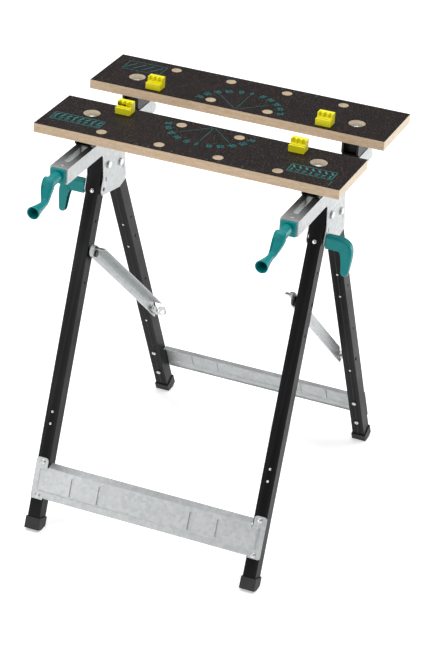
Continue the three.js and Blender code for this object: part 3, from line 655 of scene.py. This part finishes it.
def domed_head(make, radius, count, spot, top, base):
    """A closed head: spot(u, v, height) gives a point, top(u, v) the height of its upper face."""
    grid = disc_grid(radius, count)
    rows = [make.ring([spot(u, v, top(u, v)) for u, v in row]) for row in grid]
    make.quads(rows)

    def border(table):
        return (table[0][:-1] + [row[-1] for row in table[:-1]] + table[-1][:0:-1]
                + [row[0] for row in table[:0:-1]])

    skirt = make.ring([spot(u, v, base) for u, v in border(grid)])
    make.quads([border(rows), skirt], around=True)
    make.bm.faces.new(skirt)


def in_cross(u, v, arm, half):
    """Whether a place is inside a cross with arms of this length and half width."""
    return (abs(u) < half and abs(v) < arm) or (abs(v) < half and abs(u) < arm)


def bar_screw(which, legs, side_name, level, along):
    node = f"{side_name}_{which}_bar_{level}_screw"
    x = SIDES[side_name] * RAIL_X
    make = Maker()
    turn = rng.uniform(0.2, 1.2)

    def top(u, v):
        cu = u * math.cos(turn) + v * math.sin(turn)
        cv = v * math.cos(turn) - u * math.sin(turn)
        dome = 2.4 * math.sqrt(max(0.0, 1 - (u * u + v * v) / 30))
        depth = 1.3 if in_cross(cu, cv, 2.7, 0.62) else 0
        return BAR_OUT + 0.3 + dome - depth

    def spot(u, v, out):
        return legs.at(x + u, out, along + v)

    domed_head(make, SCREW_HEAD_RADIUS, 26, spot, top, BAR_OUT + 0.1)
    end = legs.at(x, SCREW_END, along)
    out = (legs.at(x, 1, along) - legs.at(x, 0, along)).normalized()
    length = BAR_OUT + 0.1 - SCREW_END
    shank = [(0, 2.2), (0.4, SCREW_SHANK_RADIUS), (length, SCREW_SHANK_RADIUS)]
    nut = [(0, 4.2), (0.5, 4.6), (2.4, 4.6)]
    make.turned(end, out, shank, 16)
    make.turned(end, out, nut, 6)
    make.piece(node + "_with_recess", "zinc_bolt", f"{which}_legs", [node], sharp=40)


# ---- cranks: hub, arm and flared hollow grip fused into one moulding ----
SPINDLE_Z = 725
GRIP_Z = 696.4
GRIP_INWARD = 5
GRIP_END = -350.9
CRANK_SIDES = 48


def crank(side_name):
    side = SIDES[side_name]
    x = side * RAIL_X

    def inward(reach):
        return x - side * reach

    make = Maker()
    hub = [(RAIL_FRONT - 6.5, 10), (RAIL_FRONT - 7.5, 10.5), (-283, 10.5), (-286.5, 9), (-287.5, 6)]
    start = hub[0][0]
    make.turned(point(x, start, SPINDLE_Z), Vector((0, -1, 0)), [(start - y, r) for y, r in hub], 36)
    grip_x = inward(GRIP_INWARD)
    # x, y, z, half width and half height of the section
    stations = [
        (x, -273, 733.5, 9.5, 5), (x, -276.5, 730, 11.3, 7.5),
        (inward(0.5), -284, 720, 11.8, 7.4), (inward(2), -292, 710, 9.8, 6.6),
        (inward(3.8), -299, 701.4, 7.6, 6.2), (inward(4.7), -305.5, 697.4, 6.6, 6.6),
        (grip_x, -312, GRIP_Z, 6.8, 6.8), (grip_x, -324, GRIP_Z, 8, 8),
        (grip_x, -338, GRIP_Z, 10.2, 10.2), (grip_x, -349.4, GRIP_Z, 12.3, 12.3),
        (grip_x, GRIP_END, GRIP_Z, 12.0, 12.0),
    ]

    def section(station):
        y = station[1]
        half_u, half_v = station[3:5]
        # squarish at the arm, round at the grip
        power = 2.0 + 2.2 * (1 - smoothstep(-y, 294, 310))
        # the arm is a shallow channel, open to the front
        depth = 3.4 * smoothstep(-y, 280, 285) * (1 - smoothstep(-y, 299, 306))
        shape = []
        for u, v in rounded_section(half_u, half_v, power, CRANK_SIDES):
            if v > 0:
                v -= depth * (1 - smoothstep(abs(u) / half_u, 0.62, 0.8))
            shape.append((u, v))
        return Vector((1, 0, 0)), shape

    rings = swept(smooth_path(stations, 4), section)
    # the skin turns in at the end and runs back inside the grip: y and radius
    hollow = [(GRIP_END, 11.1), (-350.2, 10.5), (-340, 8.6), (-328, 5.6), (-319, 4.6), (-317, 2)]
    for y, radius in hollow:
        rings.append([
            point(grip_x, y, GRIP_Z) + Vector((u, 0, v)) * MM
            for u, v in circle_facing(rings[-1], radius, grip_x)
        ])
    make.tube(rings)
    piece = make.piece(f"{side_name}_crank_moulding", "teal_plastic", f"{side_name}_drive",
                       [f"{side_name}_crank"], sharp=180)
    fuse = piece.modifiers.new("fuse", "REMESH")
    fuse.mode = "VOXEL"
    fuse.voxel_size = 0.65 * MM
    fuse.use_smooth_shade = True
    smooth = piece.modifiers.new("smooth", "SMOOTH")
    smooth.factor = 0.5
    smooth.iterations = 4


def circle_facing(ring, radius, x):
    """A circle round the grip's axis, started and turned so that it faces the last ring's points."""
    def angle_of(vertex):
        return math.atan2(vertex.z / MM - GRIP_Z, vertex.x / MM - x)

    first = angle_of(ring[0])
    turn = math.copysign(1, math.sin(angle_of(ring[1]) - first))
    angles = [first + turn * 2 * math.pi * i / len(ring) for i in range(len(ring))]
    return [(radius * math.cos(angle), radius * math.sin(angle)) for angle in angles]


# ---- locking levers: a moulded channel with a boss at the root and a closed tip ----
LEVER_Y = -77
LEVER_Z = 635
LEVER_WALL = 2.3


def lock_lever(side_name):
    side = SIDES[side_name]
    # x, and y and z from the lever's axis; half width, half height, how hollow (0 to 1)
    stations = [
        (245.6, 0, 0, 9.8, 12.4, 0.0), (250, 0, 0, 10, 12.5, 0.1),
        (255, 0, 0, 10, 12.5, 1.0), (264, 0, 0, 10, 12.5, 1.0),
        (275, -0.3, -0.8, 9.9, 12.3, 1.0), (283, -1.5, -5, 9.6, 12.4, 1.0),
        (286.8, -3.5, -13, 9.2, 11.3, 1.0), (288.3, -5.5, -24, 8.7, 9.8, 1.0),
        (288.5, -8, -38, 8, 8.2, 1.0), (288.5, -10.4, -50, 7, 7, 0.9),
        (288.3, -11.4, -55, 5.6, 5.8, 0.2), (288, -12, -58, 3.2, 3.4, 0.0),
    ]
    path = [
        (side * x, LEVER_Y + y, LEVER_Z + z, *rest)
        for x, y, z, *rest in smooth_path(stations, 4)
    ]

    def section(station):
        half_u, half_v, depth = station[3:6]
        depth = min(max(depth, 0.0), 1.0)
        corner = 0.55 * half_u
        # from the open edge on one side, round the back, to the open edge on the other side
        shape = [(half_u, -half_v)]
        for sign, from_angle in ((1, 0), (-1, 90)):
            for step in range(6):
                angle = math.radians(from_angle + 90 * step / 5)
                shape.append((sign * (half_u - corner) + corner * math.cos(angle),
                              half_v - corner + corner * math.sin(angle)))
        shape.append((-half_u, -half_v))
        inner_u = half_u - LEVER_WALL
        floor = -half_v + depth * (2 * half_v - LEVER_WALL - 1.5)
        crown = floor + 0.6 * depth
        shape += [(-inner_u, -half_v), (-inner_u, floor), (-inner_u * 0.5, crown),
                  (inner_u * 0.5, crown), (inner_u, floor), (inner_u, -half_v)]
        return Vector((0, 1, 0)), [(u, side * v) for u, v in shape]

    make = Maker()
    make.tube(swept(path, section))
    piece = make.piece(f"{side_name}_lever_moulding", "teal_plastic", f"{side_name}_lever",
                       [f"{side_name}_lock_lever"], sharp=60)
    soften(piece, 0.7, angle=50)


# ---- spindles with a real thread ----
SPINDLE_RADIUS = 4.95
SPINDLE_SIDES = 24
THREAD_PITCH = 4.0
THREAD_DEPTH = 0.95
THREAD_FROM = RAIL_FRONT + 10


def spindle(side_name):
    node = f"{side_name}_spindle"
    low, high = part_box(node)
    x = SIDES[side_name] * RAIL_X
    start, end = (low.y - GAP_Y) / MM, (high.y - GAP_Y) / MM
    step = 0.5
    rows = []
    y = start
    while y <= end + 1e-6:
        taper = min(1.0, 0.55 + 0.45 * min(y - start, end - y) / 1.5)
        row = []
        for i in range(SPINDLE_SIDES):
            angle = 2 * math.pi * i / SPINDLE_SIDES
            phase = ((y / THREAD_PITCH + i / SPINDLE_SIDES) % 1.0) * 2 - 1
            cut = 0.0 if y < THREAD_FROM else THREAD_DEPTH * smoothstep(abs(phase), 0.25, 0.9)
            radius = (SPINDLE_RADIUS - cut) * taper
            row.append(point(x + radius * math.cos(angle), y, SPINDLE_Z + radius * math.sin(angle)))
        rows.append(row)
        y += step
    make = Maker()
    make.tube(rows)
    # shoulder behind the bush
    make.turned(point(x, RAIL_FRONT + 8.6, SPINDLE_Z), Vector((0, 1, 0)),
                [(0, 7.6), (0.4, 8), (4, 8), (4.4, 7.6)], 28)
    make.piece(f"{side_name}_spindle_thread", "spindle_steel", f"{side_name}_drive", [node],
               sharp=70)


# ---- jaw bolts: a washer in the counterbore and a domed, slotted head ----
COUNTERBORE = 10
BOLT_HEAD_RADIUS = 7.4


def jaw_bolt(side_name, jaw):
    node = f"{side_name}_{jaw}_jaw_bolt"
    low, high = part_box(node)
    x = SIDES[side_name] * RAIL_X
    y = ((low.y + high.y) / 2 - GAP_Y) / MM
    base = JAW_TOP_MM - COUNTERBORE + 0.3
    foot = low.z / MM
    make = Maker()
    up = Vector((0, 0, 1))
    make.turned(point(x, y, base), up, [(0, 13.6), (0.3, 14), (1.5, 14), (1.9, 13.5), (2, 8)], 44)
    turn = rng.uniform(0, math.pi)

    def top(u, v):
        cv = v * math.cos(turn) - u * math.sin(turn)
        dome = 3.6 * math.sqrt(max(0.0, 1 - (u * u + v * v) / 66))
        slot = 1.5 if abs(cv) < 0.8 else 0
        return base + 1.6 + dome - slot

    domed_head(make, BOLT_HEAD_RADIUS, 30, lambda u, v, z: point(x + u, y + v, z), top, base + 1)
    make.turned(point(x, y, foot), up, [(0, 3.5), (0.6, 4), (base - foot + 1, 4)], 20)
    make.piece(node + "_detailed", "zinc_bolt", BODY_OF[node], [node], sharp=40)


# ---- details added to CAD nodes ----
LEG_HALF_DEPTH = 14


def rivets():
    """Domed rivet heads on the front legs' front faces and the rear legs' inner faces."""
    for which, legs, facing, heads in (
        ("front", FRONT, 1, [(671.5, 4.3), (236.7, 2.6), (213, 2.6)]),
        ("rear", REAR, -1, [(560, 2.3), (492, 2.3), (250, 2.3)]),
    ):
        face = facing * LEG_HALF_DEPTH
        for side_name, side in SIDES.items():
            make = Maker()
            x = side * RAIL_X
            for along, radius in heads:
                base = legs.at(x, face - 0.4 * facing, along)
                out = (legs.at(x, face + facing, along) - legs.at(x, face, along)).normalized()
                dome = [(0, radius), (0.6, radius), (1.0, radius * 0.92),
                        (1.5, radius * 0.6), (1.7, radius * 0.12)]
                make.turned(base, out, dome, 24)
            make.piece(f"{side_name}_{which}_leg_rivets", "zinc_bolt", f"{which}_legs", sharp=60)


def leg_seams():
    """The lapped seam that runs down the inner face of each rear leg's tube."""
    profile = ((-1.1, -0.3), (-0.7, 0.35), (0.7, 0.35), (1.1, -0.3))
    for side_name, side in SIDES.items():
        make = Maker()
        make.tube([
            [REAR.at(side * RAIL_X + across, -LEG_HALF_DEPTH - rise, along)
             for across, rise in profile]
            for along in spaced(30, 680, 20)
        ])
        make.piece(f"{side_name}_rear_leg_seam", "black_steel", "rear_legs", sharp=60)


RAIL_HALF = 18
SLOT_FRONT = RAIL_FRONT + 34
SLOT_BACK = 30
SLOT_HALF = 6.5
DIMPLE = (-222, [(0, 4.6), (0.5, 4.2), (0.9, 3.2), (1.05, 1.6), (1.0, 0.3)])
CLINCH = [(0, 2.0), (0.5, 1.8), (0.75, 1.2), (0.6, 0.7), (0.4, 0.1)]
CLINCH_Y = -226
CLINCH_Z = (733, 726, 716)
CHEEK_PANEL = [(-66, 694), (-8, 694), (-16, 664), (-52, 664)]


def slot_rim(make, x):
    """The raised rim round the slot in the top of a rail."""
    back_centre, front_centre = SLOT_BACK - SLOT_HALF, SLOT_FRONT + SLOT_HALF
    outline = [(x + SLOT_HALF * math.cos(a), back_centre + SLOT_HALF * math.sin(a))
               for a in spaced(0, math.pi, 0.3)]
    outline += [(x + SLOT_HALF * math.cos(a), front_centre + SLOT_HALF * math.sin(a))
                for a in spaced(math.pi, 2 * math.pi, 0.3)]
    rows = []
    for px, py in outline:
        centre_y = min(max(py, front_centre), back_centre)
        away = Vector((px - x, py - centre_y, 0)).normalized()
        rows.append(make.ring([
            point(px + away.x * reach, py + away.y * reach, RAIL_TOP + rise)
            for reach, rise in ((0.1, -0.2), (0.1, 0.5), (0.6, 0.85), (1.3, 0.6), (2.2, -0.1))
        ]))
    make.quads(rows + rows[:1], around=True)


def cheek_panel(make, side, wall, facing):
    """The embossed panel on one face of a cheek, smaller at its top than at its foot."""
    centre_y = sum(y for y, _ in CHEEK_PANEL) / len(CHEEK_PANEL)
    centre_z = sum(z for _, z in CHEEK_PANEL) / len(CHEEK_PANEL)
    foot = [point(side * (wall - 0.3 * facing), y, z) for y, z in CHEEK_PANEL]
    top = [
        point(side * (wall + 0.7 * facing), y + (centre_y - y) * 0.09, z + (centre_z - z) * 0.12)
        for y, z in CHEEK_PANEL
    ]
    make.tube([foot, top])


def rail_details():
    """Slot rims, a dimple, clinch marks near the front ends and the embossed cheeks."""
    for side_name, side in SIDES.items():
        x = side * RAIL_X
        make = Maker()
        slot_rim(make, x)
        dimple_y, dimple = DIMPLE
        make.turned(point(x, dimple_y, RAIL_TOP - 0.3), Vector((0, 0, 1)), dimple, 24)
        for facing in (1, -1):
            wall = RAIL_X + facing * RAIL_HALF
            for z in CLINCH_Z:
                make.turned(point(side * (wall - 0.3 * facing), CLINCH_Y, z),
                            Vector((side * facing, 0, 0)), CLINCH, 18)
            cheek_panel(make, side, wall, facing)
        piece = make.piece(f"{side_name}_rail_pressings", "galvanised_sheet", "head", sharp=40)
        soften(piece, 0.3)


STRUT_PIVOT = Vector((-112.9, 515.4))  # y, z
STRUT_STUD = Vector((186, 254))
STRUT_FACES = ((206, 1), (204.5, -1))  # x of the web's faces, and which way each one looks
BEAD_PROFILE = ((-1.0, -0.25), (-0.55, 0.42), (0.55, 0.42), (1.0, -0.25))


def strut_beads():
    """Two shallow press lines along each face of a strut's web."""
    run = (STRUT_STUD - STRUT_PIVOT).normalized()
    across = Vector((-run[1], run[0]))
    for side_name, side in SIDES.items():
        make = Maker()
        for face, facing in STRUT_FACES:
            for offset in (-3.8, 3.2):
                rings = []
                for along in [14, 16, 18] + spaced(24, 340, 12) + [344, 346, 348]:
                    fade = smoothstep(along, 13.5, 19) * (1 - smoothstep(along, 343, 348.5))
                    ring = []
                    for width, rise in BEAD_PROFILE:
                        lift = rise * fade if rise > 0 else rise
                        beside = offset + width * (0.4 + 0.6 * fade)
                        y, z = STRUT_PIVOT + run * along + across * beside
                        ring.append(point(side * (face + facing * lift), y, z))
                    rings.append(ring)
                make.tube(rings)
        make.piece(f"{side_name}_strut_beads", "galvanised_sheet", f"{side_name}_strut", sharp=60)


# ---- print on the jaw boards ----
INK_LIFT = 0.12
INK_SINK = 0.05
STROKE = 2.0
DIGIT_HEIGHT = 9.4
DIGIT_WIDTH = DIGIT_HEIGHT * 0.42
DIGIT_GAP = DIGIT_HEIGHT * 0.36
SEGMENTS = {
    "top": ((0, 1), (1, 1)), "upper_left": ((0, 0.5), (0, 1)), "upper_right": ((1, 0.5), (1, 1)),
    "middle": ((0, 0.5), (1, 0.5)), "lower_left": ((0, 0), (0, 0.5)),
    "lower_right": ((1, 0), (1, 0.5)), "base": ((0, 0), (1, 0)),
}
DIGITS = {
    "0": "top upper_left upper_right lower_left lower_right base",
    "1": "upper_right lower_right",
    "2": "top upper_right middle lower_left base",
    "3": "top upper_right middle lower_right base",
    "4": "upper_left upper_right middle lower_right",
    "5": "top upper_left middle lower_right base",
    "6": "top upper_left middle lower_left lower_right base",
    "7": "top upper_right lower_right",
    "8": "top upper_left upper_right middle lower_left lower_right base",
    "9": "top upper_left upper_right middle lower_right base",
}
DIAL_Y = 49.5  # centre of a dial, from the middle of the gap
NUMBER_RADIUS = 86
TICKS_Y = 187
TICK_PITCH = 23
PANEL_PITCH = 12
# x0, x1, y0, y1 and the bars' lean in degrees
FRONT_PANELS = ((-286, -186, -158, -127, 60), (186, 272, -161, -128, -60))


def ink_bar(make, cx, cy, angle, length, width):
    """A thin printed bar centred on a point of the jaw's top."""
    c, s = math.cos(angle), math.sin(angle)
    corners = [(-length, -width), (length, -width), (length, width), (-length, width)]
    outline = [
        point(cx + (c * u - s * v) / 2, cy + (s * u + c * v) / 2, JAW_TOP_MM - INK_SINK)
        for u, v in corners
    ]
    make.prism(outline, Vector((0, 0, (INK_LIFT + INK_SINK) * MM)))


def ink_number(make, text, cx, cy, angle):
    """Dial number drawn with bars, upright along the given angle."""
    total = len(text) * DIGIT_WIDTH + (len(text) - 1) * DIGIT_GAP
    c, s = math.cos(angle), math.sin(angle)
    for i, digit in enumerate(text):
        left = -total / 2 + i * (DIGIT_WIDTH + DIGIT_GAP)
        for name in DIGITS[digit].split():
            (u0, v0), (u1, v1) = SEGMENTS[name]
            u0, u1 = left + u0 * DIGIT_WIDTH, left + u1 * DIGIT_WIDTH
            v0, v1 = (v0 - 0.5) * DIGIT_HEIGHT, (v1 - 0.5) * DIGIT_HEIGHT
            mu, mv = (u0 + u1) / 2, (v0 + v1) / 2
            ink_bar(make, cx + c * mu - s * mv, cy + s * mu + c * mv,
                    angle + math.atan2(v1 - v0, u1 - u0),
                    math.hypot(u1 - u0, v1 - v0) + STROKE, STROKE)


def ink_frame(make, x0, x1, y0, y1, width):
    middle_x, middle_y = (x0 + x1) / 2, (y0 + y1) / 2
    for cy in (y0, y1):
        ink_bar(make, middle_x, cy, 0, x1 - x0 + width, width)
    for cx in (x0, x1):
        ink_bar(make, cx, middle_y, math.pi / 2, y1 - y0 + width, width)


def ink_spoke(make, sign, degrees, start, end):
    """A line of the dial, along its radius at the given angle."""
    angle = math.radians(degrees)
    across, out = math.cos(angle), sign * math.sin(angle)
    reach = (start + end) / 2
    ink_bar(make, reach * across, sign * DIAL_Y + reach * out, math.atan2(out, across),
            end - start, 0.7)


def jaw_print(name, body, sign):
    """The dial and the edge ticks of one board, and plain marks where the photo has panels."""
    make = Maker()
    for degrees in range(15, 166, 15):
        angle = math.radians(degrees)
        ink_number(make, str(abs(90 - degrees)), NUMBER_RADIUS * math.cos(angle),
                   sign * (DIAL_Y + NUMBER_RADIUS * math.sin(angle)), sign * (angle - math.pi / 2))
        ink_spoke(make, sign, degrees, 74, 79)
    for degrees in (45, 90, 135):
        ink_spoke(make, sign, degrees, 4, 70)
    # ticks along the outer long edge
    for i in (*range(-5, 0), *range(1, 6)):
        ink_bar(make, i * TICK_PITCH + 20, sign * TICKS_Y, math.pi / 2, 4 if i % 2 else 8, 0.8)
    if body == "moving_jaw":
        for x0, x1, y0, y1, lean in FRONT_PANELS:
            ink_frame(make, x0, x1, y0, y1, 1.2)
            count = round((x1 - x0) / PANEL_PITCH)
            for i in range(count):
                cx = x0 + (i + 0.5) * (x1 - x0) / count
                ink_bar(make, cx, y1 - 9, math.radians(lean), 11, 3.4)
                ink_bar(make, cx, y0 + 12, 0 if i % 3 else math.pi / 2, 8, 2.6)
                ink_bar(make, cx, y0 + 5.5, 0, 7, 1.5)
        ink_bar(make, 275, -174, math.pi / 2, 22, 0.8)
    else:
        for i in range(4):
            ink_bar(make, -262 + i * 18, 152, math.radians(60), 30, 1.4)
        ink_frame(make, -272, -194, 131, 173, 0.8)
    make.piece(name, "jaw_board", body, sharp=30, look="printed_ink")


# ---- everything together ----
SCREW_ALONG = {"lower": 69, "upper": 137}
REDONE = {"front_crossbar", "rear_crossbar"}
for side_name in SIDES:
    REDONE |= {
        f"{side_name}_{kind}"
        for kind in ("crank", "lock_lever", "spindle", "front_jaw_bolt", "rear_jaw_bolt")
    }
    REDONE |= {
        f"{side_name}_{which}_bar_{level}_screw"
        for which in ("front", "rear") for level in SCREW_ALONG
    }
# bevel of the CAD nodes by the last word of their names, in millimetres
BEVELS = {
    "leg": 1.3, "foot": 1.2, "dog": 0.9, "jaw": 0.5, "rail": 0.5, "bush": 0.8, "carriage": 0.8,
    "block": 0.8,
}
SMALL_BEVEL = 0.4

camera()
studio()
for name in NODES:
    if name not in REDONE:
        finish_node(name, BEVELS.get(name.split("_")[-1], SMALL_BEVEL))
for which, legs in (("front", FRONT), ("rear", REAR)):
    crossbar(which, legs)
    for side_name in SIDES:
        for level, along in SCREW_ALONG.items():
            bar_screw(which, legs, side_name, level, along)
for side_name in SIDES:
    crank(side_name)
    lock_lever(side_name)
    spindle(side_name)
    for jaw in ("front", "rear"):
        jaw_bolt(side_name, jaw)
rivets()
leg_seams()
rail_details()
strut_beads()
jaw_print("front_jaw_print", "moving_jaw", -1)
jaw_print("rear_jaw_print", "head", 1)
